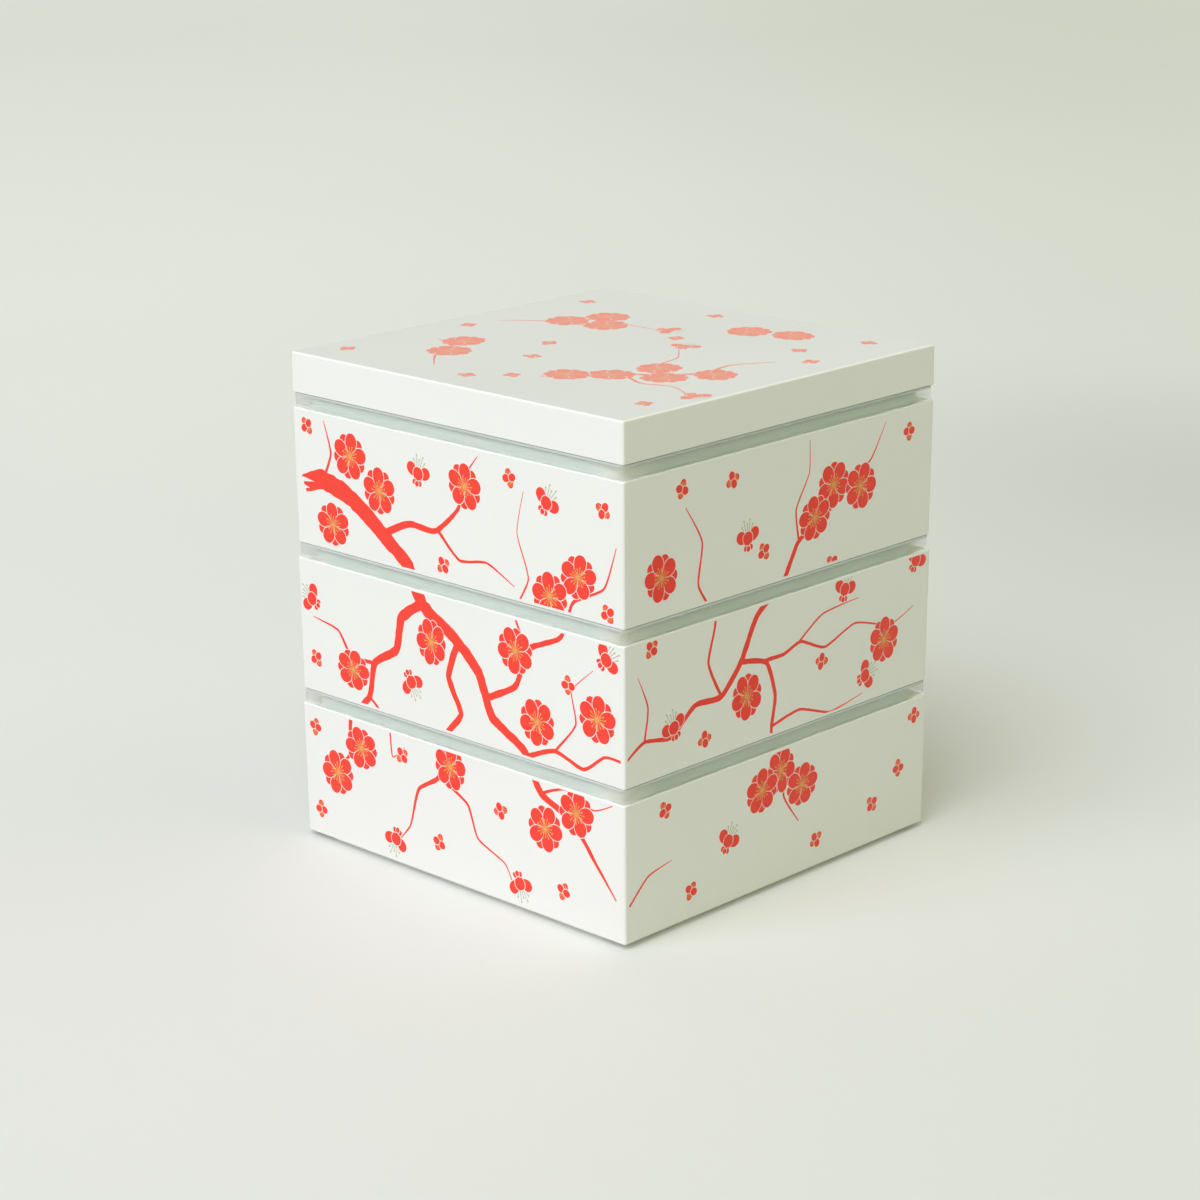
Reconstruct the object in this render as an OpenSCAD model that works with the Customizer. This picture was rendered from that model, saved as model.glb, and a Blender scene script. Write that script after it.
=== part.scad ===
// Three-tier stacking food box.
// Three equal square tiers stand on each other. A soft seal lid is pressed over the rim of
// each tier, and the foot of the piece above drops into the tray in the seal lid's top.
// An outer lid closes the stack. Origin: centre of the base, on the surface it stands on.

/* [Box] */
// Width of the tiers and the outer lid, across their widest edge
box_w = 195; // [150:1:240]
// Radius of the upright outside corners
corner_r = 1.2; // [1:0.1:3]
// Radius along the top edge of a tier and of the outer lid
edge_r = 0.9; // [0.4:0.1:1]
// Radius along the lower edge of a tier and of the outer lid
lower_edge_r = 0.3; // [0.2:0.1:0.6]
// Draft of the walls, in degrees, for lifting out of the mould
draft = 0.4; // [0:0.1:1]

/* [Tier] */
// Height of a tier's walls, from the lower edge up to the shoulder
tier_h = 60; // [40:1:90]
// Thickness of a tier's floor
floor_t = 2.5; // [1.5:0.1:4]
// Radius where the inside walls meet the floor
floor_fillet = 6; // [2:0.5:10]

/* [Rim] */
// Height of the rim above the shoulder
rim_h = 5.4; // [4.5:0.1:7]
// Thickness of the rim
rim_t = 1.3; // [1:0.1:2]
// Radius of the rim's outside corners
rim_corner_r = 15.5; // [14:0.5:22]

/* [Foot] */
// Height of the foot below a tier's lower edge
foot_h = 2.6; // [2:0.1:3.2]
// Thickness of the foot ring
foot_t = 2; // [1.5:0.1:3]

/* [Seal lid] */
// Distance that the seal lid lies back from the faces of the tiers
seal_recess = 0.3; // [0.2:0.1:1]
// Thickness of the skirt and of the plug wall inside the rim
seal_wall_t = 0.9; // [0.7:0.1:1.2]
// Thickness of the band that bridges the rim
seal_band_t = 1; // [0.8:0.1:1.4]
// Thickness of the middle panel
panel_t = 1; // [0.7:0.1:1.4]
// Radius of the seal lid's outside corners
seal_corner_r = 3; // [2:0.5:4]
// Radius along the seal lid's top edge
seal_edge_r = 0.3; // [0.2:0.1:0.7]
// Depth of the plug wall, measured down from the top of the rim
plug_h = 6; // [4.5:0.1:8]
// Distance that the lip along the skirt's lower edge stands out
lip_out = 0.15; // [0.1:0.05:0.2]
// Height of that lip
lip_h = 0.9; // [0.5:0.1:1.5]

/* [Outer lid] */
// Height of the outer lid, from its lower edge to its flat top
lid_h = 17.5; // [12:0.5:25]
// Thickness of the lid's top
lid_top_t = 2.5; // [1.5:0.1:4]
// Thickness of the lid's skirt
lid_wall_t = 2.2; // [1.5:0.1:3]
// Thickness of the locating rib under the lid
lid_rib_t = 1.6; // [1.2:0.1:2.5]
// Radius where the inside of the lid meets its skirt
lid_inside_r = 2; // [1:0.5:4]

/* [Fits] */
// Clearance between the seal lid and each side of the rim
seal_fit = 0.25; // [0.15:0.05:0.4]
// Clearance between a foot and the tray wall round it
foot_fit = 0.3; // [0.2:0.05:0.6]
// Gap between the skirt's lower edge and the shoulder
shoulder_gap = 0.2; // [0.2:0.1:0.8]
// Gap between the seal lid's top and the lower edge of the piece above
stack_gap = 0.2; // [0.2:0.1:0.8]

/* [Hidden] */

// Widths and corner radii, from the outside in
seal_w = box_w - 2 * seal_recess;
groove_w = seal_w - 2 * seal_wall_t;
rim_w = groove_w - 2 * seal_fit;
cavity_w = rim_w - 2 * rim_t;
cavity_r = rim_corner_r - rim_t;
plug_w = cavity_w - 2 * seal_fit;
plug_r = cavity_r - seal_fit;
tray_w = plug_w - 2 * seal_wall_t;
tray_r = plug_r - seal_wall_t;
foot_w = tray_w - 2 * foot_fit;
foot_r = tray_r - foot_fit;

// Heights above a tier's shoulder
seal_top = rim_h + seal_band_t;
tray_floor = seal_top + stack_gap - foot_h;
piece_above = seal_top + stack_gap;

// Places of the pieces in the stack
pitch = tier_h + piece_above;
function tier_z(level) = foot_h + level * pitch;
function shoulder_z(level) = tier_z(level) + tier_h;

// Width lost to draft on one side over a height
function draft_in(height) = height * tan(draft);

// How far a cut runs past the face that it opens through
through = 1;

lacquer_white = "#eff1ea";
frosted_white = "#d2dcd3";

// A square with round corners, centred on the origin
module round_square(width, radius) {
    square([width - 2 * radius, width], center = true);
    square([width, width - 2 * radius], center = true);
    corners(width / 2 - radius) circle(radius, $fn = 96);
}

// Copies of one shape at the four corners of a square
module corners(reach) {
    for (x = [-1, 1], y = [-1, 1])
        translate([x * reach, y * reach]) children();
}

// A disc with a full-round rim, which rounds both a corner and the edge beside it
module edge_disc(radius, edge, around, across) {
    rotate_extrude($fn = around)
        intersection() {
            translate([radius - edge, 0]) circle(edge, $fn = across);
            translate([0, -edge]) square([radius, 2 * edge]);
        }
}

// A square block with drafted sides and rounded edges, standing on z = 0
module soft_block(bottom_w, top_w, height, radius, bottom_edge, top_edge) {
    hull() {
        corners(bottom_w / 2 - radius)
            translate([0, 0, bottom_edge]) edge_disc(radius, bottom_edge, 24, 16);
        corners(top_w / 2 - radius)
            translate([0, 0, height - top_edge]) edge_disc(radius, top_edge, 24, 24);
    }
}

// The space inside a tier: drafted walls that meet the floor in a fillet
module cavity() {
    height = tier_h + rim_h + through - floor_t;
    translate([0, 0, floor_t]) hull() {
        corners(cavity_w / 2 - cavity_r - draft_in(height))
            translate([0, 0, floor_fillet]) edge_disc(cavity_r, floor_fillet, 40, 32);
        corners(cavity_w / 2 - cavity_r)
            translate([0, 0, height - through])
                cylinder(h = through, r = cavity_r, $fn = 40);
    }
}

// One tier: drafted walls, the rim above the shoulder and the foot ring below the floor
module tier() {
    color(lacquer_white) difference() {
        union() {
            soft_block(box_w - 2 * draft_in(tier_h), box_w, tier_h,
                corner_r, lower_edge_r, edge_r);
            linear_extrude(tier_h + rim_h) round_square(rim_w, rim_corner_r);
            translate([0, 0, -foot_h])
                linear_extrude(foot_h + floor_t) round_square(foot_w, foot_r);
        }
        cavity();
        translate([0, 0, -foot_h - through])
            linear_extrude(foot_h + through)
                round_square(foot_w - 2 * foot_t, foot_r - foot_t);
    }
}

// One seal lid, with z = 0 at the shoulder that it stands over
module seal_lid() {
    plug_bottom = rim_h - plug_h;
    panel_bottom = tray_floor - panel_t;
    color(frosted_white) difference() {
        union() {
            translate([0, 0, shoulder_gap])
                soft_block(seal_w, seal_w, seal_top - shoulder_gap,
                    seal_corner_r, lip_out, seal_edge_r);
            translate([0, 0, shoulder_gap])
                linear_extrude(lip_h) round_square(seal_w + 2 * lip_out, seal_corner_r + lip_out);
            translate([0, 0, plug_bottom])
                linear_extrude(plug_h) round_square(plug_w, plug_r);
        }
        groove(plug_bottom);
        translate([0, 0, plug_bottom - through])
            linear_extrude(panel_bottom - plug_bottom + through)
                round_square(tray_w, tray_r);
        translate([0, 0, tray_floor])
            linear_extrude(foot_h) round_square(tray_w, tray_r);
    }
}

// The groove in the underside of a seal lid that takes the rim
module groove(bottom) {
    translate([0, 0, bottom - through])
        linear_extrude(plug_h + through)
            difference() {
                round_square(groove_w, seal_corner_r - seal_wall_t);
                round_square(plug_w, plug_r);
            }
}

// The outer lid: a flat top, its skirt, and the rib that drops into the top seal lid
module outer_lid() {
    inside_h = lid_h - lid_top_t;
    color(lacquer_white) translate([0, 0, tier_z(3)]) difference() {
        union() {
            difference() {
                soft_block(box_w, box_w - 2 * draft_in(lid_h), lid_h,
                    corner_r, lower_edge_r, edge_r);
                translate([0, 0, -through])
                    linear_extrude(inside_h + through)
                        round_square(box_w - 2 * lid_wall_t, lid_inside_r);
            }
            translate([0, 0, -foot_h])
                linear_extrude(foot_h + lid_h - lid_top_t / 2) round_square(foot_w, foot_r);
        }
        translate([0, 0, -foot_h - through])
            linear_extrude(foot_h + inside_h + through)
                round_square(foot_w - 2 * lid_rib_t, foot_r - lid_rib_t);
    }
}

module tier_at(level) {
    translate([0, 0, tier_z(level)]) tier();
}

module seal_lid_at(level) {
    translate([0, 0, shoulder_z(level)]) seal_lid();
}

tier_at(0);  // tier_bottom
tier_at(1);  // tier_middle
tier_at(2);  // tier_top
seal_lid_at(0);  // seal_lid_bottom
seal_lid_at(1);  // seal_lid_middle
seal_lid_at(2);  // seal_lid_top
outer_lid();
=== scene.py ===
"""The looks of a three-tier stacking food box: white lacquer, frosted seal lids and a printed plum bough.

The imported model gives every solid. This script adds the camera, the light and the floor, the
materials, and the print on the tiers and the outer lid, as thin meshes that ride on their pieces.
The front face, on the left in the main view, looks along -Y, and the right one along +X.
"""

import math
import random

import bmesh
import bpy
from mathutils import Matrix, Vector
from mathutils.geometry import delaunay_2d_cdt


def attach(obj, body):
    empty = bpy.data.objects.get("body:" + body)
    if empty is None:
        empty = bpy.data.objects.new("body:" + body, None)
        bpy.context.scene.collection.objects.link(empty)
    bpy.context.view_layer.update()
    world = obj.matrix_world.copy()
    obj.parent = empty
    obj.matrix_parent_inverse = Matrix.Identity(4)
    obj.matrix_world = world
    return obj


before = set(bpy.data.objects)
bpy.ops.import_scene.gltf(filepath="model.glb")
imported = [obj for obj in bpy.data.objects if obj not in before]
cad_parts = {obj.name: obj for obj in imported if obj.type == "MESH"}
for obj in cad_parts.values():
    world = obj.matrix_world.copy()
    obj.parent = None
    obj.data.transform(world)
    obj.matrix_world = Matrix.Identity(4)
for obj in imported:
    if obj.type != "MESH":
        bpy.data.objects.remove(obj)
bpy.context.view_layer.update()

MM = 0.001

TIERS = ("tier_bottom", "tier_middle", "tier_top")
SEAL_LIDS = ("seal_lid_bottom", "seal_lid_middle", "seal_lid_top")
OUTER_LID = "outer_lid"

# The box in millimetres, for the print and for the zones of the seal lids
BOX_WIDTH = 195.0
LOWER_EDGE = 2.6
TIER_HEIGHT = 60.0
TIER_PITCH = 66.6
RIM_HEIGHT = 5.4

# How far from the middle, in millimetres, a seal lid changes: its panel ends and its skirt begins,
# and the painted glow of its upright corners, a lighter tint for light through the hollow corners, sets
# in and is full
PANEL_END = 91.0
SKIRT_START = 94.0
PAINTED_GLOW_START = 76.0
PAINTED_GLOW_FULL = 96.5

# A seal lid's solid band over the rim, in millimetres: how far below the rim's top it sets in, and
# over what height
BAND_SINK = 0.1
BAND_BLEND = 0.3

# How milky a seal lid's panel is, from 0 for clear to 1 for solid
PANEL_MILKINESS = 0.6

# Camera, fitted to the corners of the box in the photograph
PHOTO_SIZE = 1200
SENSOR_WIDTH = 36.0
FOCAL_PIXELS = 3017.0
VIEW_AZIMUTH = math.radians(43.87)
VIEW_ELEVATION = math.radians(16.61)
VIEW_ROLL = math.radians(0.37)
CAMERA_PLACE = Vector((0.8722, -0.9167, 0.4849))

# The view's directions on the floor: to its right, and away from the camera
VIEW_RIGHT = Vector((math.cos(VIEW_AZIMUTH), math.sin(VIEW_AZIMUTH), 0.0))
VIEW_AWAY = Vector((-math.sin(VIEW_AZIMUTH), math.cos(VIEW_AZIMUTH), 0.0))

# The key light: where it stands, how broad it is, its colour and its strength
KEY_AZIMUTH = math.radians(12.0)
KEY_ELEVATION = math.radians(49.0)
KEY_SPREAD = math.radians(60.0)
KEY_COLOR = (1.0, 0.975, 1.16)
KEY_STRENGTH = 2.58

# The room's colour, and its brightness: for what it lights, seen through frosted plastic, and seen
# in gloss below and above two heights on the unit sphere
ROOM_COLOR_LEFT = (1.0, 1.06, 1.02, 1.0)
ROOM_COLOR_RIGHT = (0.88, 0.97, 0.2, 1.0)
ROOM_FILL = 0.27
ROOM_SEEN_LEFT = 1.0
ROOM_SEEN_RIGHT = 0.3
ROOM_GLOSS_LOW = 0.45
ROOM_GLOSS_HIGH = 2.4
GLOSS_LOW_END = 0.35
GLOSS_HIGH_START = 0.65

# What the camera sees past the paper
WALL_COLOR = (218, 221, 211)

# The paper in metres: half its width, its colours to the left and right, the right one darker as painted
# shade, and where each is full
PAPER_HALF = 40.0
PAPER_LEFT = (225, 227, 222)
PAPER_RIGHT_SHADED = (208, 210, 201)
PAPER_LEFT_FULL = -0.45
PAPER_RIGHT_FULL = 0.75

# Painted shade on the paper: where it darkens away from the camera, each (start, full, shade), and its
# painted shadows in darker spots, each (right, away, radius, shade), measured in metres from the middle
# of the box
PAPER_PAINTED_FALLOFF = ((-0.35, 0.6, 0.92), (0.9, 3.6, 0.84))
PAPER_PAINTED_SHADOWS = ((0.38, 0.62, 0.45, 0.82), (-0.16, -0.02, 0.30, 0.92))

# The light that the paper gives off to the camera alone: its colour and its strength
PAPER_LIFT_COLOR = (250, 252, 246)
PAPER_LIFT = 0.09

# How far ink is turned from the view, on the Layer Weight node's scale, where its painted sheen starts
# to pale it and where it is palest
PAINTED_SHEEN_START = 0.38
PAINTED_SHEEN_FULL = 0.75


# Colours and nodes


def linear(red, green, blue):
    """A colour given as 0 to 255 on screen, in the linear values that shaders take."""

    def channel(value):
        share = value / 255
        return share / 12.92 if share <= 0.04045 else ((share + 0.055) / 1.055) ** 2.4

    return (channel(red), channel(green), channel(blue), 1.0)


def link(tree, source, output, target, socket):
    """Joins two nodes by the names or numbers of their sockets."""
    tree.links.new(source.outputs[output], target.inputs[socket])


def spread(tree, source, output, low, high, start=0.0, end=1.0):
    """A node that maps the span from start to end onto low to high, each a number or a node."""
    scale = tree.nodes.new("ShaderNodeMapRange")
    link(tree, source, output, scale, "Value")
    for socket, value in (("From Min", start), ("From Max", end), ("To Min", low), ("To Max", high)):
        if isinstance(value, bpy.types.Node):
            link(tree, value, "Result", scale, socket)
        else:
            scale.inputs[socket].default_value = value
    return scale


def ramp_between(tree, source, output, low, high, start=0.0, end=1.0):
    """A colour that goes from low to high as a value goes from start to end."""
    ramp = tree.nodes.new("ShaderNodeValToRGB")
    ramp.color_ramp.elements[0].position = start
    ramp.color_ramp.elements[0].color = low
    ramp.color_ramp.elements[1].position = end
    ramp.color_ramp.elements[1].color = high
    link(tree, source, output, ramp, "Fac")
    return ramp


def combine(tree, operation, first, second):
    """A math node over two inputs, each a (node, output) pair or a number."""
    result = tree.nodes.new("ShaderNodeMath")
    result.operation = operation
    for socket, value in enumerate((first, second)):
        if isinstance(value, tuple):
            link(tree, *value, result, socket)
        else:
            result.inputs[socket].default_value = value
    return result


def shade(tree, tone, share):
    """A colour node's colour, scaled by a value."""
    scale = tree.nodes.new("ShaderNodeVectorMath")
    scale.operation = "SCALE"
    link(tree, tone, 0, scale, 0)
    link(tree, share, "Result", scale, "Scale")
    return scale


def mix_shaders(tree, first, second):
    """A node that mixes two shaders, each a (node, output) pair."""
    mix = tree.nodes.new("ShaderNodeMixShader")
    link(tree, *first, mix, 1)
    link(tree, *second, mix, 2)
    return mix


# Camera, floor and light


def direction(azimuth, elevation):
    """The way from the box to a place; the azimuth turns from the front face to the right one."""
    level = math.cos(elevation)
    return Vector((math.sin(azimuth) * level, -math.cos(azimuth) * level, math.sin(elevation)))


def make_camera():
    """The photograph's view: a long lens, a little above the box, facing its upright edge."""
    data = bpy.data.cameras.new("camera")
    data.sensor_width = SENSOR_WIDTH
    data.lens = FOCAL_PIXELS / PHOTO_SIZE * SENSOR_WIDTH
    data.clip_start = 0.05
    data.clip_end = 50.0
    camera = bpy.data.objects.new("camera", data)
    bpy.context.scene.collection.objects.link(camera)
    behind = direction(VIEW_AZIMUTH, VIEW_ELEVATION)
    up = behind.cross(VIEW_RIGHT)
    turned_right = VIEW_RIGHT * math.cos(VIEW_ROLL) - up * math.sin(VIEW_ROLL)
    turned_up = VIEW_RIGHT * math.sin(VIEW_ROLL) + up * math.cos(VIEW_ROLL)
    axes = Matrix((turned_right, turned_up, behind)).transposed()
    camera.matrix_world = Matrix.Translation(CAMERA_PLACE) @ axes.to_4x4()
    bpy.context.scene.camera = camera


def make_floor():
    """A pale sheet that runs far past the main view, so no horizon shows in it."""
    mesh = bpy.data.meshes.new("floor")
    corners = [(x * PAPER_HALF, y * PAPER_HALF, 0.0) for x, y in ((-1, -1), (1, -1), (1, 1), (-1, 1))]
    mesh.from_pydata(corners, [], [(0, 1, 2, 3)])
    floor = bpy.data.objects.new("floor", mesh)
    bpy.context.scene.collection.objects.link(floor)
    mesh.materials.append(paper_material())


def make_key():
    """The one lamp: distant, broad and soft."""
    data = bpy.data.lights.new("key", "SUN")
    data.angle = KEY_SPREAD
    data.energy = KEY_STRENGTH
    data.color = KEY_COLOR
    light = bpy.data.objects.new("key", data)
    bpy.context.scene.collection.objects.link(light)
    turn = direction(KEY_AZIMUTH, KEY_ELEVATION).to_track_quat("Z", "Y")
    light.matrix_world = turn.to_matrix().to_4x4()


def make_room():
    """Dim fill, yellower on the right. Gloss and frosted plastic see it brighter, the camera a wall."""
    world = bpy.data.worlds.new("room")
    world.use_nodes = True
    tree = world.node_tree
    background = tree.nodes["Background"]
    place = tree.nodes.new("ShaderNodeTexCoord")
    axes = tree.nodes.new("ShaderNodeSeparateXYZ")
    link(tree, place, "Generated", axes, "Vector")
    across = spread(tree, axes, "X", 0.0, 1.0, start=-1.0)
    tone = ramp_between(tree, across, "Result", ROOM_COLOR_LEFT, ROOM_COLOR_RIGHT)
    link(tree, tone, "Color", background, "Color")
    path = tree.nodes.new("ShaderNodeLightPath")
    through = spread(tree, across, "Result", ROOM_SEEN_LEFT, ROOM_SEEN_RIGHT)
    gloss = spread(tree, axes, "Z", ROOM_GLOSS_LOW, ROOM_GLOSS_HIGH, GLOSS_LOW_END, GLOSS_HIGH_START)
    level = spread(tree, path, "Is Glossy Ray", ROOM_FILL, gloss)
    level = spread(tree, path, "Is Transmission Ray", level, through)
    link(tree, level, "Result", background, "Strength")
    wall = tree.nodes.new("ShaderNodeBackground")
    wall.inputs["Color"].default_value = linear(*WALL_COLOR)
    view = tree.nodes.new("ShaderNodeMixShader")
    link(tree, path, "Is Camera Ray", view, "Fac")
    link(tree, background, "Background", view, 1)
    link(tree, wall, "Background", view, 2)
    link(tree, view, "Shader", tree.nodes["World Output"], "Surface")
    bpy.context.scene.world = world


def make_light():
    """One broad soft light high before the front face, in a pale room."""
    make_key()
    make_room()
    bpy.context.scene.view_settings.view_transform = "Standard"


# Materials


def new_material(name):
    """An empty node material with a Principled shader, and its node tree."""
    material = bpy.data.materials.new(name)
    material.use_nodes = True
    tree = material.node_tree
    return material, tree, tree.nodes["Principled BSDF"]


def object_noise(tree, scale, detail=3.0, roughness=0.5):
    """Noise that is fixed to the piece, in cycles per metre."""
    place = tree.nodes.new("ShaderNodeTexCoord")
    noise = tree.nodes.new("ShaderNodeTexNoise")
    noise.inputs["Scale"].default_value = scale
    noise.inputs["Detail"].default_value = detail
    noise.inputs["Roughness"].default_value = roughness
    link(tree, place, "Object", noise, "Vector")
    return noise


def vary_roughness(tree, shader, noise, low, high):
    """Lets the gloss wander between two values."""
    link(tree, spread(tree, noise, "Fac", low, high), "Result", shader, "Roughness")


def add_bump(tree, shader, noise, height, strength):
    """A fine relief, height in metres."""
    bump = tree.nodes.new("ShaderNodeBump")
    bump.inputs["Distance"].default_value = height
    bump.inputs["Strength"].default_value = strength
    link(tree, noise, "Fac", bump, "Height")
    link(tree, bump, "Normal", shader, "Normal")


def lacquer_material():
    """Sprayed white lacquer: a satin gloss with the faint orange peel of a sprayed coat."""
    material, tree, shader = new_material("white_lacquer")
    noise = object_noise(tree, 9.0, detail=0.0)
    low, high = linear(239, 240, 233), linear(241, 242, 236)
    tone = ramp_between(tree, noise, "Fac", low, high, start=0.1, end=0.9)
    link(tree, tone, "Color", shader, "Base Color")
    vary_roughness(tree, shader, noise, 0.24, 0.28)
    peel = object_noise(tree, 900.0, detail=1.0)
    add_bump(tree, shader, peel, height=0.02 * MM, strength=0.12)
    shader.inputs["IOR"].default_value = 1.5
    return material


def place_axes(tree, absolute=False):
    """The place on the piece, in metres from the middle of the box, by axis and maybe without sign."""
    place = tree.nodes.new("ShaderNodeTexCoord")
    axes = tree.nodes.new("ShaderNodeSeparateXYZ")
    if not absolute:
        link(tree, place, "Object", axes, "Vector")
        return axes
    size = tree.nodes.new("ShaderNodeVectorMath")
    size.operation = "ABSOLUTE"
    link(tree, place, "Object", size, 0)
    link(tree, size, "Vector", axes, "Vector")
    return axes


def near_corner(tree):
    """A value that rises from 0 along the sides of the box to 1 at its upright corners, where the seal
    lids' painted glow is full.
    """
    axes = place_axes(tree, absolute=True)
    lesser = combine(tree, "MINIMUM", (axes, "X"), (axes, "Y"))
    share = spread(tree, lesser, "Value", 0.0, 1.0, start=PAINTED_GLOW_START * MM, end=PAINTED_GLOW_FULL * MM)
    share.interpolation_type = "SMOOTHSTEP"
    return share


def solid_band(tree):
    """A value that is 1 in the solid band that closes a seal lid over the rim, and 0 below it."""
    height = combine(tree, "SUBTRACT", (place_axes(tree), "Z"), LOWER_EDGE * MM)
    height = combine(tree, "MODULO", (height, "Value"), TIER_PITCH * MM)
    start = (TIER_HEIGHT + RIM_HEIGHT - BAND_SINK) * MM
    return spread(tree, height, "Value", 0.0, 1.0, start, start + BAND_BLEND * MM)


def panel_share(tree):
    """A value that falls from the panel's milkiness to 0 where a seal lid's skirt begins."""
    axes = place_axes(tree, absolute=True)
    greater = combine(tree, "MAXIMUM", (axes, "X"), (axes, "Y"))
    return spread(
        tree, greater, "Value", PANEL_MILKINESS, 0.0, start=PANEL_END * MM, end=SKIRT_START * MM
    )


def frosted_material():
    """Soft frosted polyethylene: thin walls let light through, thicker parts are milky, and a painted
    glow lightens the tint at the upright corners.
    """
    material, tree, shader = new_material("frosted_polyethylene")
    corner = near_corner(tree)
    # Painted glow: the tint lightens towards the upright corners, standing in for light that comes
    # through the hollow corners
    side, painted_glow = (0.87, 0.91, 0.91, 1.0), (1.0, 1.0, 1.0, 1.0)
    tint = ramp_between(tree, corner, "Result", side, painted_glow)
    link(tree, tint, "Color", shader, "Base Color")
    vary_roughness(tree, shader, object_noise(tree, 30.0), 0.26, 0.34)
    shader.inputs["Transmission Weight"].default_value = 1.0
    shader.inputs["IOR"].default_value = 1.08
    thin = tree.nodes.new("ShaderNodeBsdfTranslucent")
    link(tree, tint, "Color", thin, "Color")
    wall = mix_shaders(tree, (shader, "BSDF"), (thin, "BSDF"))
    link(tree, spread(tree, corner, "Result", 0.2, 0.0), "Result", wall, "Fac")
    panel = panel_share(tree)
    band, middle = linear(202, 209, 204), linear(240, 245, 244)
    tone = ramp_between(tree, panel, "Result", band, middle, end=PANEL_MILKINESS)
    milky = tree.nodes.new("ShaderNodeBsdfDiffuse")
    link(tree, tone, "Color", milky, "Color")
    whole = mix_shaders(tree, (wall, "Shader"), (milky, "BSDF"))
    share = combine(tree, "MAXIMUM", (solid_band(tree), "Result"), (panel, "Result"))
    link(tree, share, "Value", whole, "Fac")
    link(tree, whole, "Shader", tree.nodes["Material Output"], "Surface")
    return material


def ink_material(name, color, painted_sheen):
    """Screen-printed ink, a little uneven, with a painted sheen that turns its colour paler at a grazing
    angle.
    """
    material, tree, shader = new_material(name)
    # Painted sheen: the colour turns paler as the ink is seen at a grazing angle
    facing = tree.nodes.new("ShaderNodeLayerWeight")
    painted_sheen_share = spread(tree, facing, "Facing", 0.0, 1.0, PAINTED_SHEEN_START, PAINTED_SHEEN_FULL)
    tone = ramp_between(tree, painted_sheen_share, "Result", color, painted_sheen)
    noise = object_noise(tree, 260.0, detail=4.0)
    uneven = spread(tree, noise, "Fac", 0.97, 1.03, start=0.35, end=0.65)
    link(tree, shade(tree, tone, uneven), "Vector", shader, "Base Color")
    vary_roughness(tree, shader, noise, 0.25, 0.35)
    shader.inputs["IOR"].default_value = 1.3
    return material


def make_inks():
    """The inks of the print by name, each with the paler tone that its painted sheen gives it at a
    grazing angle.
    """
    red = ink_material("vermilion_ink", linear(250, 69, 54), linear(251, 150, 128))
    gold = ink_material("gold_on_red", linear(235, 167, 92), linear(244, 176, 140))
    dull = ink_material("gold_on_white", linear(179, 184, 149), linear(206, 209, 190))
    return {"red": red, "gold_on_red": gold, "gold_on_white": dull}


def paper_material():
    """The pale sheet under the box, with painted shade: darker to the right and away from the camera, and
    painted shadows in soft darker spots.
    """
    material, tree, shader = new_material("backdrop_paper")
    place = tree.nodes.new("ShaderNodeTexCoord")

    def measure(operation, vector, start, end):
        reach = tree.nodes.new("ShaderNodeVectorMath")
        reach.operation = operation
        reach.inputs[1].default_value = vector
        link(tree, place, "Object", reach, 0)
        share = spread(tree, reach, "Value", 0.0, 1.0, start, end)
        share.interpolation_type = "SMOOTHSTEP"
        return share

    across = measure("DOT_PRODUCT", VIEW_RIGHT, PAPER_LEFT_FULL, PAPER_RIGHT_FULL)
    tone = ramp_between(tree, across, "Result", linear(*PAPER_LEFT), linear(*PAPER_RIGHT_SHADED))
    # Painted shade: the paper darkens away from the camera, and painted shadows darken soft spots
    painted_shade_zones = []
    for start, full, least in PAPER_PAINTED_FALLOFF:
        painted_shade_zones.append((measure("DOT_PRODUCT", VIEW_AWAY, start, full), least))
    for right, away, radius, least in PAPER_PAINTED_SHADOWS:
        center = right * VIEW_RIGHT + away * VIEW_AWAY
        painted_shade_zones.append((measure("DISTANCE", center, radius, 0.0), least))
    for share, least in painted_shade_zones:
        tone = shade(tree, tone, spread(tree, share, "Result", 1.0, least))
    link(tree, tone, "Vector", shader, "Base Color")
    vary_roughness(tree, shader, object_noise(tree, 3.0), 0.7, 0.8)
    shader.inputs["Emission Color"].default_value = linear(*PAPER_LIFT_COLOR)
    lift = spread(tree, tree.nodes.new("ShaderNodeLightPath"), "Is Camera Ray", 0.0, PAPER_LIFT)
    link(tree, lift, "Result", shader, "Emission Strength")
    return material


def dress_solids():
    """Gives the CAD pieces their finish."""
    lacquer = lacquer_material()
    frosted = frosted_material()
    for names, material in ((TIERS + (OUTER_LID,), lacquer), (SEAL_LIDS, frosted)):
        for name in names:
            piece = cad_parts[name]
            piece.data.materials.clear()
            piece.data.materials.append(material)


# Drawing the print, flat, in millimetres

BARE, RED, GOLD = "bare", "red", "gold"

# The light line round a petal in millimetres, and how far a limb's edges swell and shrink, as a
# share of its width
OUTLINE = 0.34
SWELL = 0.07

# Gold lines in millimetres: a stamen's width at its foot and tip, its dot of pollen, and a line of dust
STAMEN_FOOT = 0.38
STAMEN_TIP = 0.3
POLLEN = 0.48
DUST_WIDTH = 0.3

# How many stamens an open blossom has, and a short one as a share of a long one
STAMENS = 16
SHORT_STAMEN = 0.82

# Petals as shares of their flower's size: distance from its centre, half length and half width
BACK_PETAL = (0.70, 0.26, 0.24)
FRONT_PETAL = (0.57, 0.42, 0.33)
SIDE_PETAL = (0.82, 0.60, 0.47)
NEAR_PETAL = (0.26, 0.56, 0.52)
SEPAL = (-0.5, 0.22, 0.20)
DUSTED_PETAL = (0.95, 0.86, 0.74)
PLAIN_PETAL = (0.8, 0.86, 0.74)


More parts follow.
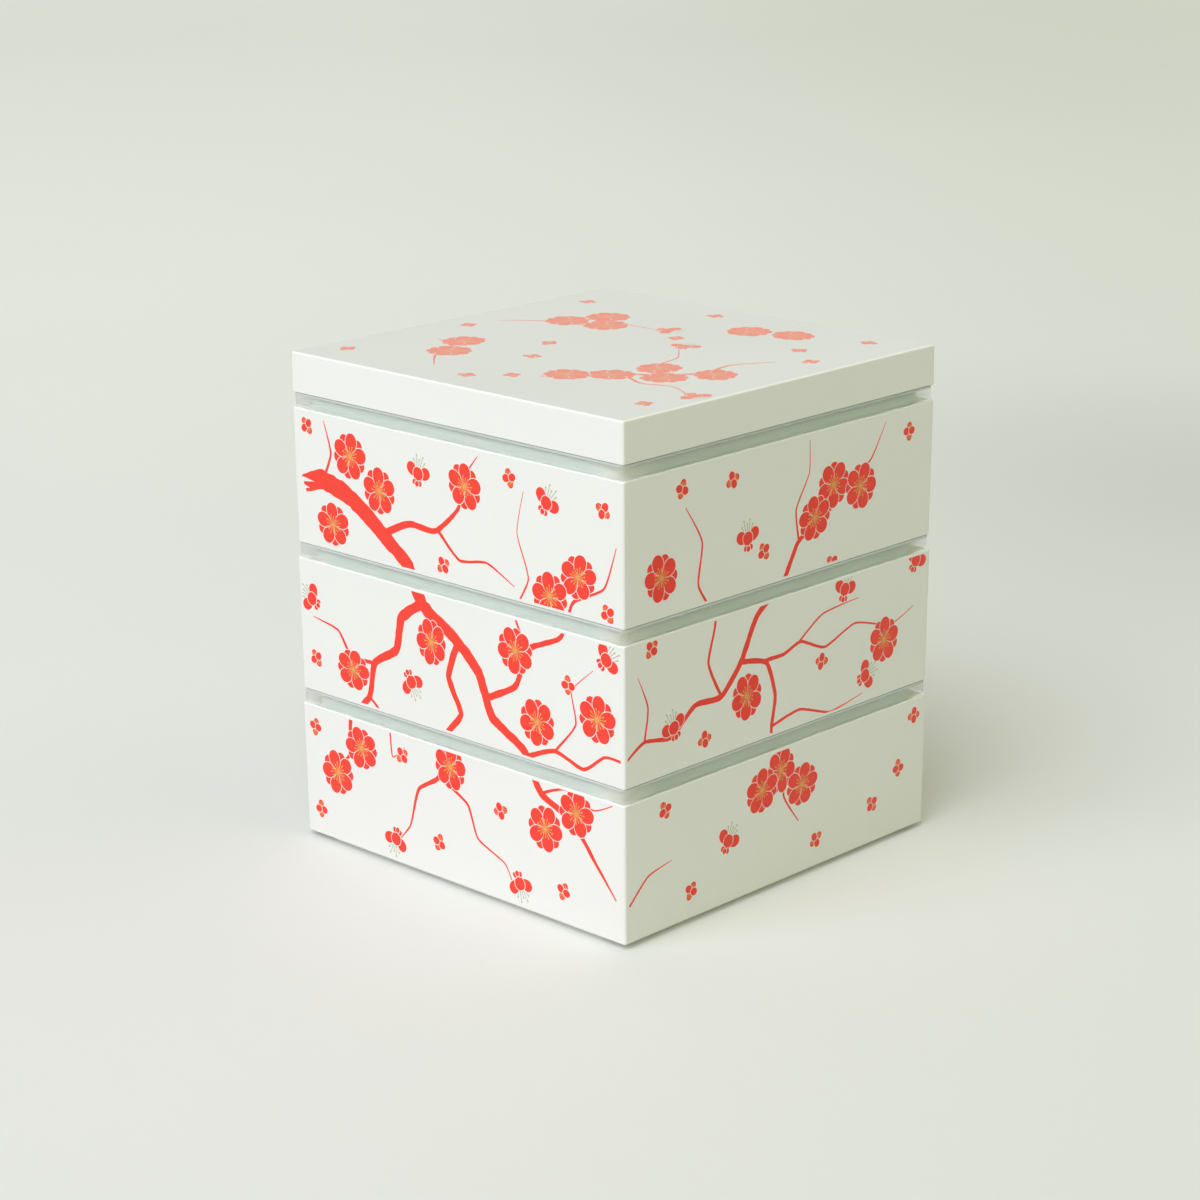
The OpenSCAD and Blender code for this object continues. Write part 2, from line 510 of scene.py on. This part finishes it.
class Drawing:
    """Patches of ink in the order they are laid: a later patch covers an earlier one.

    A patch is (ink, outline). The ink BARE leaves the lacquer showing, for the fine light line
    that parts a petal from what lies behind it.
    """

    def __init__(self, seed):
        self.patches = []
        self.chance = random.Random(seed)

    def lay(self, ink, outline):
        """Lays a patch over those before it."""
        self.patches.append((ink, outline))


def polar(center, distance, angle):
    """The point at a distance and an angle from a centre."""
    return (
        center[0] + distance * math.cos(angle),
        center[1] + distance * math.sin(angle),
    )


def oval(center, along, across, angle, broad=0.0, steps=28):
    """The points of an oval whose long axis points at angle; broad swells its far end."""
    points = []
    for step in range(steps):
        turn = 2 * math.pi * step / steps
        x = along * math.cos(turn)
        y = across * math.sin(turn) * (1 + broad * math.cos(turn))
        points.append(
            (
                center[0] + x * math.cos(angle) - y * math.sin(angle),
                center[1] + x * math.sin(angle) + y * math.cos(angle),
            )
        )
    return points


def lean(points, center, angle, share):
    """Points squeezed towards a line through the centre, as a flower that faces aside is."""
    axis = (math.cos(angle), math.sin(angle))
    leaned = []
    for x, y in points:
        across = (y - center[1]) * axis[0] - (x - center[0]) * axis[1]
        move = across * (share - 1)
        leaned.append((x - move * axis[1], y + move * axis[0]))
    return leaned


def stroke(start, end, start_width, end_width):
    """A straight tapering stroke as four points."""
    angle = math.atan2(end[1] - start[1], end[0] - start[0]) + math.pi / 2
    return [
        polar(start, start_width / 2, angle),
        polar(start, -start_width / 2, angle),
        polar(end, -end_width / 2, angle),
        polar(end, end_width / 2, angle),
    ]


def draw_petal(drawing, center, size, petal, angle, pose=list, broad=0.12):
    """A petal with its light outline, on a flower of one size."""
    distance, along, across = (share * size for share in petal)
    middle = polar(center, distance, angle)
    for ink, grow in ((BARE, OUTLINE), (RED, 0.0)):
        drawing.lay(ink, pose(oval(middle, along + grow, across + grow, angle, broad)))


def draw_stamens(drawing, center, reach, angles, pose=list, inner=0.0):
    """Fine filaments at the given angles, long and short in turn, each with a dot of pollen."""
    for number, angle in enumerate(angles):
        start = polar(center, inner, angle)
        end = polar(center, reach * (1.0 if number % 2 else SHORT_STAMEN), angle)
        drawing.lay(GOLD, pose(stroke(start, end, STAMEN_FOOT, STAMEN_TIP)))
        drawing.lay(GOLD, pose(oval(end, POLLEN, 0.8 * POLLEN, angle, steps=9)))


def draw_blossom(drawing, u, v, radius=10.4):
    """An open blossom: five round petals over five small ones, and a crown of stamens."""
    center = (u, v)
    chance = drawing.chance
    turn = chance.uniform(0, 2 * math.pi)
    tilt = chance.uniform(0, math.pi)
    share = chance.uniform(0.88, 1.0)

    def pose(points):
        return lean(points, center, tilt, share)

    fifth = 2 * math.pi / 5
    for number in range(5):
        angle = turn + (number + 0.5) * fifth
        draw_petal(drawing, center, radius, BACK_PETAL, angle, pose)
    # Every second petal in turn, so that they overlap unevenly
    for number in range(5):
        angle = turn + (2 * number % 5) * fifth
        draw_petal(drawing, center, radius, FRONT_PETAL, angle, pose)
    heart = 0.2 * radius
    drawing.lay(RED, pose(oval(center, heart, heart, 0.0, steps=16)))
    crown = [turn + 2 * math.pi * number / STAMENS for number in range(STAMENS)]
    draw_stamens(drawing, center, 0.43 * radius, crown, pose)
    eye = 0.07 * radius
    drawing.lay(GOLD, pose(oval(center, eye, eye, 0.0, steps=12)))


def draw_half_open(drawing, u, v, degrees, size=5.6):
    """A blossom seen from the side, opening towards an angle, with its calyx behind."""
    center = (u, v)
    angle = math.radians(degrees)
    fan = [angle + aside for aside in (-0.42, -0.2, 0.0, 0.2, 0.42)]
    draw_stamens(drawing, center, 1.72 * size, fan, inner=0.5 * size)
    for aside in (-0.95, 0.95):
        draw_petal(drawing, center, size, SIDE_PETAL, angle + aside)
    draw_petal(drawing, center, size, NEAR_PETAL, angle)
    for aside in (-0.62, 0.62, 0.0):
        draw_petal(drawing, center, size, SEPAL, angle + aside)


def draw_floret(drawing, u, v, size=2.3):
    """A small loose flower of four round petals, two of them dusted with gold."""
    center = (u, v)
    start = drawing.chance.uniform(0, 2 * math.pi)
    turns = ((0.0, DUSTED_PETAL), (3.3, DUSTED_PETAL), (1.5, PLAIN_PETAL), (4.9, PLAIN_PETAL))
    for turn, petal in turns:
        angle = start + turn
        draw_petal(drawing, center, size, petal, angle, broad=0.0)
        if petal is DUSTED_PETAL:
            for aside in (-0.35, 0.0, 0.35):
                inner = polar(center, 0.5 * size, angle + aside)
                outer = polar(center, 1.5 * size, angle + aside)
                drawing.lay(GOLD, stroke(inner, outer, DUST_WIDTH, DUST_WIDTH))


def smooth_path(points, bend=0.3, step=1.5):
    """Points of (u, v, width) along a curve through the given ones; a low bend keeps it angular.

    Each piece is a cubic whose slope at a point follows the chord between the point's neighbours.
    """
    padded = [points[0], *points, points[-1]]
    path = []
    for before, start, end, after in zip(padded, padded[1:], padded[2:], padded[3:]):
        pieces = max(2, round(math.dist(start[:2], end[:2]) / step))
        for piece in range(pieces):
            share = piece / pieces
            leave = (2 * share - 3) * share * share + 1
            arrive = 1 - leave
            push = (share * (share - 2) + 1) * share * bend
            pull = (share - 1) * share * share * bend
            path.append(
                tuple(
                    leave * near + arrive * far + push * (far - prior) + pull * (later - near)
                    for prior, near, far, later in zip(before, start, end, after)
                )
            )
    path.append(tuple(points[-1]))
    return path


def draw_limb(drawing, *points):
    """A branch through points of (u, v, width), whose edges swell and shrink like bark."""
    path = smooth_path(points)
    swells = [drawing.chance.uniform(-SWELL, SWELL) for _ in range(2 * len(path))]
    edges = []
    for number, (u, v, width) in enumerate(path):
        before = path[max(number - 1, 0)]
        after = path[min(number + 1, len(path) - 1)]
        angle = math.atan2(after[1] - before[1], after[0] - before[0]) + math.pi / 2
        left, right = (
            width * (0.5 + (swells[at] + swells[at + 1]) / 2)
            for at in (number, number + len(path) - 1)
        )
        edges.append((polar((u, v), left, angle), polar((u, v), -right, angle)))
    for (left, right), (next_left, next_right) in zip(edges, edges[1:]):
        drawing.lay(RED, [left, right, next_right, next_left])


def tear_end(drawing, u, v, width):
    """Bites two ragged notches out of the broken end of a bough, in shares of its width."""
    half_gap = 0.16
    for rise, depth in ((0.28, 0.9), (-0.16, 0.5)):
        drawing.lay(
            BARE,
            [
                (u - 1, v + (rise + half_gap) * width),
                (u - 1, v + (rise - half_gap) * width),
                (u + depth * width, v + rise * width),
            ],
        )


# The print's layout, in millimetres from the lower left corner of a face. A limb is
# a list of (u, v, width), a blossom or a floret (u, v) and a half-open blossom (u, v, degrees).

FRONT_LIMBS = (
    ((6, 160, 7.4), (18, 164, 8.6), (38, 158, 8.2), (56, 146, 7.4), (70, 136, 7.0),
     (80, 120, 6.4), (98, 110, 5.8), (112, 98, 5.2), (120, 80, 4.6), (138, 70, 4.0),
     (148, 54, 3.4), (166, 46, 2.6), (178, 32, 1.8), (190, 18, 0.6)),
    ((56, 147, 3.6), (72, 154, 3.0), (88, 154, 2.4), (102, 166, 1.8), (106, 180, 1.1),
     (114, 190, 0.4)),
    ((79, 121, 4.8), (66, 112, 4.4), (62, 97, 4.0), (48, 88, 3.4), (44, 72, 3.0),
     (32, 60, 2.4), (30, 42, 1.6), (16, 31, 0.6)),
    ((100, 108, 3.6), (94, 92, 3.3), (101, 77, 3.0), (90, 64, 2.7), (87, 46, 2.2),
     (74, 37, 1.6), (68, 19, 0.9), (58, 8, 0.3)),
    ((117, 88, 3.2), (134, 97, 2.8), (141, 114, 2.5), (160, 123, 2.1), (167, 139, 1.5),
     (184, 148, 1.0), (191, 166, 0.4)),
    ((140, 68, 2.2), (156, 74, 1.9), (172, 70, 1.6), (184, 78, 1.3), (194, 78, 1.1)),
    ((48, 88, 1.9), (33, 88, 1.6), (25, 98, 1.1), (9, 101, 0.4)),
    ((90, 154, 1.6), (102, 144, 1.3), (118, 146, 1.0), (134, 139, 0.4)),
    ((87, 46, 1.5), (104, 38, 1.3), (110, 24, 1.0), (126, 17, 0.7), (132, 6, 0.3)),
    ((141, 114, 1.3), (134, 128, 1.1), (142, 144, 0.8), (136, 162, 0.5), (140, 180, 0.3)),
    ((156, 74, 1.2), (168, 88, 0.9), (166, 102, 0.6), (178, 113, 0.3)),
    ((148, 54, 1.3), (162, 59, 1.0), (178, 54, 0.7), (193, 61, 0.3)),
    ((18, 163, 1.6), (24, 176, 1.2), (20, 190, 0.4)),
    ((44, 72, 1.4), (56, 62, 1.1), (58, 48, 0.7), (66, 54, 0.3)),
)
FRONT_BLOSSOMS = (
    (54, 165), (36, 177), (24, 145), (106, 176), (170, 150), (154, 139),
    (84, 105), (34, 82), (134, 112), (146, 84), (180, 93),
    (38, 47), (22, 32), (94, 52), (150, 39), (168, 50),
)
FRONT_HALF_OPEN = (
    (78, 175, 80), (10, 108, 150), (152, 176, 60), (70, 86, 300), (59, 12, 255),
    (184, 118, 40), (134, 12, 290),
)
FRONT_FLORETS = (
    (9, 186), (132, 184), (184, 180), (186, 138), (92, 140), (10, 82), (164, 104),
    (8, 50), (10, 12), (124, 40), (86, 16), (160, 14), (64, 50),
)


def draw_branches(drawing, limbs):
    """Every branch of one face."""
    for limb in limbs:
        draw_limb(drawing, *limb)


def draw_flowers(drawing, blossoms, half_open, florets):
    """Every flower of one face, by kind."""
    for place in blossoms:
        draw_blossom(drawing, *place)
    for place in half_open:
        draw_half_open(drawing, *place)
    for place in florets:
        draw_floret(drawing, *place)


def draw_front():
    """An old bough that comes in from the upper left and falls to the lower right."""
    drawing = Drawing(seed=11)
    draw_branches(drawing, FRONT_LIMBS)
    tear_end(drawing, *FRONT_LIMBS[0][0])
    draw_flowers(drawing, FRONT_BLOSSOMS, FRONT_HALF_OPEN, FRONT_FLORETS)
    return drawing


RIGHT_LIMBS = (
    ((1, 78, 1.0), (12, 84, 1.6), (28, 82, 2.1), (42, 92, 2.5), (58, 92, 2.8), (70, 104, 3.0),
     (80, 122, 2.8), (96, 132, 2.6), (106, 148, 2.3), (124, 156, 1.9), (138, 170, 1.4),
     (152, 174, 0.9), (162, 189, 0.3)),
    ((70, 104, 2.4), (86, 100, 2.2), (92, 84, 2.0), (90, 68, 1.8), (100, 54, 1.5),
     (98, 38, 1.1), (108, 24, 0.5)),
    ((58, 92, 1.6), (50, 108, 1.4), (54, 126, 1.3), (44, 142, 1.1), (46, 160, 0.9),
     (36, 176, 0.4)),
    ((84, 101, 1.9), (97, 101, 1.7), (108, 104, 1.5), (124, 98, 1.2), (144, 104, 0.9),
     (168, 98, 0.7), (184, 103, 0.3)),
    ((106, 148, 1.2), (104, 162, 0.9), (112, 176, 0.6), (112, 190, 0.3)),
    ((90, 71, 1.4), (108, 74, 1.2), (128, 68, 0.9), (150, 71, 0.3)),
    ((12, 84, 1.1), (14, 98, 0.9), (8, 112, 0.3)),
    ((3, 16, 1.1), (14, 26, 0.9), (28, 29, 0.3)),
    ((105, 103, 1.1), (122, 113, 0.9), (146, 115, 0.3)),
)
RIGHT_BLOSSOMS = (
    (128, 168), (116, 156), (146, 164), (22, 150), (74, 88), (96, 50), (110, 40), (84, 44),
    (164, 92),
)
RIGHT_HALF_OPEN = (
    (74, 154, 95), (30, 84, 110), (136, 119, 75), (150, 78, 20), (62, 26, 60), (184, 122, 60),
)
RIGHT_FLORETS = (
    (34, 184), (64, 182), (178, 182), (16, 122), (84, 148), (122, 92), (128, 134),
    (48, 76), (24, 52), (40, 12), (176, 30), (158, 18), (186, 52), (120, 12),
)


def draw_right():
    """Thinner shoots that come round the corner from the front."""
    drawing = Drawing(seed=23)
    draw_branches(drawing, RIGHT_LIMBS)
    draw_flowers(drawing, RIGHT_BLOSSOMS, RIGHT_HALF_OPEN, RIGHT_FLORETS)
    return drawing


LID_LIMBS = (
    ((114, 36, 1.1), (128, 48, 1.8), (136, 62, 2.4), (150, 70, 2.6), (160, 86, 2.0),
     (158, 104, 1.2), (168, 122, 0.5)),
    ((136, 62, 1.6), (154, 54, 1.3), (168, 58, 0.9), (184, 50, 0.3)),
    ((150, 70, 1.3), (136, 82, 1.0), (132, 100, 0.7), (120, 114, 0.3)),
    ((18, 106, 0.4), (34, 118, 1.2), (50, 122, 1.5), (62, 136, 1.1), (84, 138, 0.4)),
    ((66, 22, 0.4), (52, 36, 1.1), (46, 52, 1.3), (28, 60, 0.4)),
)
LID_BLOSSOMS = (
    (134, 58), (154, 68), (120, 46), (140, 80), (166, 86),
    (42, 126), (62, 130), (50, 144), (50, 46), (40, 64), (118, 162), (138, 168),
)
LID_HALF_OPEN = ((184, 52, 340), (119, 118, 110), (88, 140, 10))
LID_FLORETS = (
    (14, 20), (90, 18), (104, 30), (84, 62), (70, 86), (16, 90), (104, 130),
    (18, 164), (84, 178), (160, 146), (178, 132), (172, 178), (180, 28),
)


def draw_lid():
    """Three loose sprays and a scatter of small flowers, seen from above."""
    drawing = Drawing(seed=5)
    draw_branches(drawing, LID_LIMBS)
    draw_flowers(drawing, LID_BLOSSOMS, LID_HALF_OPEN, LID_FLORETS)
    return drawing


# Laying the print on the lacquer

# How far the ink stands out of the lacquer and reaches into it
INK_THICKNESS = 0.03 * MM
INK_SINK = 0.03 * MM

# What the print leaves bare, in millimetres: at the upright corners, at a tier's upper and lower
# edge, and round the lid's top
SIDE_MARGIN = 2.2
EDGE_MARGIN = 1.4
LID_MARGIN = 2.4

# Settings of the triangulation: it keeps what lies in a patch or a window, and joins points this
# close, in millimetres
KEEP_INSIDE = 1
JOIN_DISTANCE = 1e-4

# A face looks one way if the cosine of the angle between that way and its normal is above this
LOOKS_ALONG = 0.999


def part_patches(drawing, windows):
    """Parts overlapping patches into triangles by the ink that shows, for each window.

    A window is (low u, low v, high u, high v). Gold is parted again into gold on red and gold
    on white, because the thin ink takes the tone of what lies under it.
    """
    points = []
    faces = []
    for low_u, low_v, high_u, high_v in windows:
        corners = [(low_u, low_v), (high_u, low_v), (high_u, high_v), (low_u, high_v)]
        faces.append(list(range(len(points), len(points) + 4)))
        points.extend(corners)
    for _, outline in drawing.patches:
        faces.append(list(range(len(points), len(points) + len(outline))))
        points.extend(outline)
    flat = [Vector(point) for point in points]
    made, _, triangles, _, _, owners = delaunay_2d_cdt(flat, [], faces, KEEP_INSIDE, JOIN_DISTANCE)
    shown = [{} for _ in windows]
    for triangle, owned_by in zip(triangles, owners):
        window = min(owned_by, default=len(windows))
        if window >= len(windows):
            continue
        # The first owner is the window, the others are patches
        inks = [drawing.patches[owner - len(windows)][0] for owner in sorted(owned_by)[1:]]
        ink = inks[-1] if inks else BARE
        if ink == BARE:
            continue
        if ink == GOLD:
            below = [other for other in inks if other != GOLD]
            ink = "gold_on_red" if below and below[-1] == RED else "gold_on_white"
        shown[window].setdefault(ink, []).append(triangle)
    return made, shown


def add_layer(bm, made, triangles, place):
    """Adds triangles of one ink to a mesh as a thin closed layer on the surface."""
    vertices = {}
    faces = []
    for triangle in triangles:
        for index in triangle:
            if index not in vertices:
                vertices[index] = bm.verts.new(place(made[index], INK_THICKNESS))
        faces.append(bm.faces.new([vertices[index] for index in triangle]))
    side = bmesh.ops.extrude_face_region(bm, geom=faces, use_keep_orig=True)
    lowered = [item for item in side["geom"] if isinstance(item, bmesh.types.BMVert)]
    drop = place(Vector((0, 0)), -INK_SINK) - place(Vector((0, 0)), INK_THICKNESS)
    bmesh.ops.translate(bm, verts=lowered, vec=drop)


def flat_face(node, towards):
    """The largest flat face of a CAD node that looks one way: a point on it and its normal."""
    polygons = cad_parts[node].data.polygons
    facing = [polygon for polygon in polygons if polygon.normal.dot(towards) > LOOKS_ALONG]
    largest = max(facing, key=lambda polygon: polygon.area)
    return largest.center.copy(), largest.normal.copy()


def place_on(node, towards, right, up, corner):
    """A function that takes a point of the drawing and a height to a place on a node's face."""
    point, normal = flat_face(node, towards)

    def place(flat, height):
        spot = Vector(corner) + (right * flat.x + up * flat.y) * MM
        spot -= towards * ((spot - point).dot(normal) / towards.dot(normal))
        return spot + normal * height

    return place


def lay_print(body, sheets, inks):
    """Prints sheets of (points, triangles by ink, place) on one body, one piece for each ink."""
    layers = {}
    for made, shown, place in sheets:
        for ink, triangles in shown.items():
            if ink not in layers:
                layers[ink] = bmesh.new()
            add_layer(layers[ink], made, triangles, place)
    for ink, bm in layers.items():
        bmesh.ops.recalc_face_normals(bm, faces=bm.faces)
        mesh = bpy.data.meshes.new(f"print_{ink}_{body}")
        bm.to_mesh(mesh)
        bm.free()
        mesh.materials.append(inks[ink])
        piece = bpy.data.objects.new(mesh.name, mesh)
        bpy.context.scene.collection.objects.link(piece)
        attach(piece, body)


def print_sides(inks):
    """The four sides: the front and right drawings, and the same two again behind."""
    half = BOX_WIDTH * MM / 2
    base = LOWER_EDGE * MM
    up = Vector((0, 0, 1))
    windows = []
    for level in range(len(TIERS)):
        low = level * TIER_PITCH + EDGE_MARGIN
        high = level * TIER_PITCH + TIER_HEIGHT - EDGE_MARGIN
        windows.append((SIDE_MARGIN, low, BOX_WIDTH - SIDE_MARGIN, high))
    front = part_patches(draw_front(), windows)
    right_side = part_patches(draw_right(), windows)
    sides = (
        (front, Vector((0, -1, 0)), Vector((1, 0, 0)), (-half, -half, base)),
        (right_side, Vector((1, 0, 0)), Vector((0, 1, 0)), (half, -half, base)),
        (front, Vector((0, 1, 0)), Vector((-1, 0, 0)), (half, half, base)),
        (right_side, Vector((-1, 0, 0)), Vector((0, -1, 0)), (-half, half, base)),
    )
    for level, node in enumerate(TIERS):
        sheets = [
            (made, shown[level], place_on(node, towards, right, up, corner))
            for (made, shown), towards, right, corner in sides
        ]
        lay_print(node, sheets, inks)


def print_lid(inks):
    """The flat top of the outer lid."""
    half = BOX_WIDTH * MM / 2
    towards = Vector((0, 0, 1))
    place = place_on(
        OUTER_LID, towards, Vector((1, 0, 0)), Vector((0, 1, 0)), (-half, -half, 0)
    )
    far = BOX_WIDTH - LID_MARGIN
    made, shown = part_patches(draw_lid(), [(LID_MARGIN, LID_MARGIN, far, far)])
    lay_print(OUTER_LID, [(made, shown[0], place)], inks)


make_camera()
make_floor()
make_light()
dress_solids()
inks = make_inks()
print_sides(inks)
print_lid(inks)
